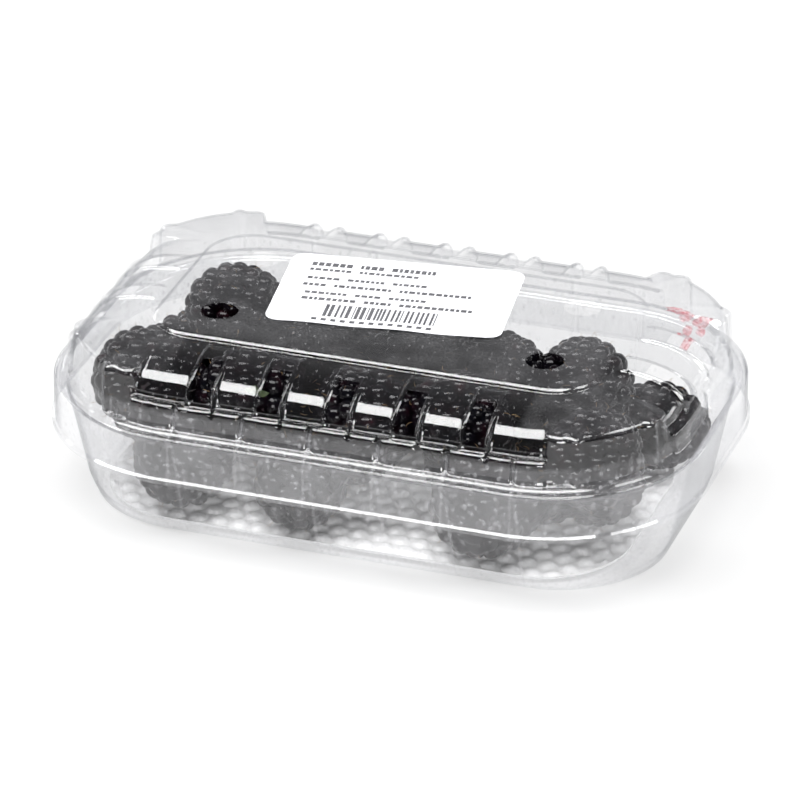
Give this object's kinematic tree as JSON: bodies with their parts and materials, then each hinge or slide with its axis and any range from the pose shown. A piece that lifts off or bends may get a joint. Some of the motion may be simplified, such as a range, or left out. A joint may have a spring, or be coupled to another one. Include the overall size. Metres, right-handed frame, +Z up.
{
  "type": "punnet of bramble berries",
  "caption": "Clear two-piece food punnet, shut: a tapered tray with a ribbed, vented lid over it, a paper label, a bubble-embossed pad and a heap of dark bramble berries.",
  "frame": {"origin": "on the surface the punnet stands on, under the middle of its outline", "axes": "+X along the length, -Y the front long side, +Z up"},
  "size_m": [0.143, 0.095, 0.0415],
  "materials": {
    "clear_sheet": "gloss",
    "label_paper": "satin paper",
    "bubble_pad": "matte, embossed",
    "dark_fruit": "moist skin"
  },
  "bodies": {
    "root": {"tray": "clear_sheet", "lid": "clear_sheet", "label": "label_paper", "pad": "bubble_pad", "berries": "dark_fruit"}
  },
  "joints": []
}
